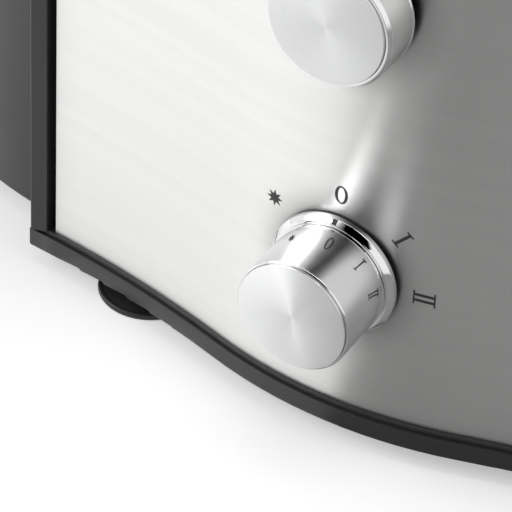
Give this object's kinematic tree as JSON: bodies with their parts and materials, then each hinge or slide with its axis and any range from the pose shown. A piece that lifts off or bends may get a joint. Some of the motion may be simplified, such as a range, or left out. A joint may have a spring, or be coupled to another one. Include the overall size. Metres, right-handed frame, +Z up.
{
  "type": "centrifugal juicer",
  "caption": "Centrifugal juicer with steel front, selector knob, locking arm, wide feed chute with pusher, spinning strainer basket, juice spout and side pulp bin.",
  "frame": {"origin": "on the vertical drive axis, at table level", "axes": "+X right to the juice spout, +Y back, +Z up; the steel panel faces -Y"},
  "size_m": [0.3987, 0.2855, 0.4103],
  "materials": {
    "base_plastic": "fine satin texture",
    "housing_plastic": "fine satin texture",
    "steel_panel": "brushed along the width",
    "foot_rubber": "smooth, slightly dusty",
    "zinc_screw": "zinc plated",
    "motor_steel": "bare laminated steel",
    "bearing_steel": "ground steel",
    "copper": "enamelled copper",
    "carbon": "carbon",
    "brush_brass": "pressed brass",
    "inner_nylon": "moulded nylon",
    "board_green": "solder mask",
    "bowl_plastic": "glossy black",
    "lid_clear": "clear smoked",
    "chrome_trim": "polished",
    "spun_face": "spun, satin",
    "arm_black": "satin black coating",
    "bush_nylon": "acetal",
    "basket_steel": "stainless",
    "pusher_plastic": "glossy black",
    "bin_plastic": "satin dark grey"
  },
  "bodies": {
    "base": {"base_tray": "base_plastic", "housing": "housing_plastic", "front_panel": "steel_panel", "trim_strip_left": "housing_plastic", "trim_strip_right": "housing_plastic", "suction_feet": "foot_rubber", "base_screws": "zinc_screw", "cord_gland": "foot_rubber", "lower_bracket": "motor_steel", "upper_bracket": "motor_steel", "lower_bearing": "bearing_steel", "upper_bearing": "bearing_steel", "stator_core": "motor_steel", "field_coils": "copper", "motor_bolts": "zinc_screw", "motor_mounts": "foot_rubber", "brush_holders": "brush_brass", "brushes": "carbon", "brush_rails": "inner_nylon", "shaft_seal": "foot_rubber", "rotary_switch": "inner_nylon", "control_board": "board_green", "board_standoffs": "inner_nylon", "terminal_block": "inner_nylon", "thermal_cutout": "motor_steel", "interlock_switch": "inner_nylon", "juice_bowl": "bowl_plastic", "juice_spout": "bowl_plastic", "lid": "lid_clear", "feed_chute": "lid_clear", "chute_collar": "chrome_trim", "pivot_pins": "bearing_steel"},
    "rotor": {"motor_shaft": "bearing_steel", "armature_core": "motor_steel", "armature_windings": "copper", "commutator": "copper", "cooling_fan": "inner_nylon", "drive_coupling": "inner_nylon", "basket_hub": "bush_nylon", "grater_disc": "basket_steel", "filter_basket": "basket_steel", "basket_rim": "basket_steel"},
    "knob": {"selector_knob": "chrome_trim", "knob_face": "spun_face", "knob_ring": "chrome_trim", "switch_spindle": "bearing_steel"},
    "arm": {"locking_arm": "arm_black", "arm_grip": "foot_rubber", "pivot_bushes": "bush_nylon", "hub_caps": "chrome_trim", "cap_discs": "spun_face"},
    "pusher": {"food_pusher": "pusher_plastic", "pusher_grip": "foot_rubber"},
    "bin": {"pulp_bin": "bin_plastic", "bin_grip": "bin_plastic"}
  },
  "joints": [
    {"name": "rotor_spin", "type": "hinge", "parent": "base", "child": "rotor", "pos_m": [0, 0, 0.2], "axis": [0, 0, 1], "continuous": true},
    {"name": "selector_turn", "type": "hinge", "parent": "base", "child": "knob", "pos_m": [0, -0.13, 0.0687], "axis": [0, 1, 0], "range_deg": [-55, 90]},
    {"name": "arm_swing", "type": "hinge", "parent": "base", "child": "arm", "pos_m": [0, 0, 0.1726], "axis": [0, 1, 0], "range_deg": [0, 38]},
    {"name": "pusher_lift", "type": "slide", "parent": "base", "child": "pusher", "axis": [0, 0, 1], "range_m": [0, 0.15]},
    {"name": "bin_slide", "type": "slide", "parent": "base", "child": "bin", "axis": [-1, 0, 0], "range_m": [0, 0.12]}
  ]
}
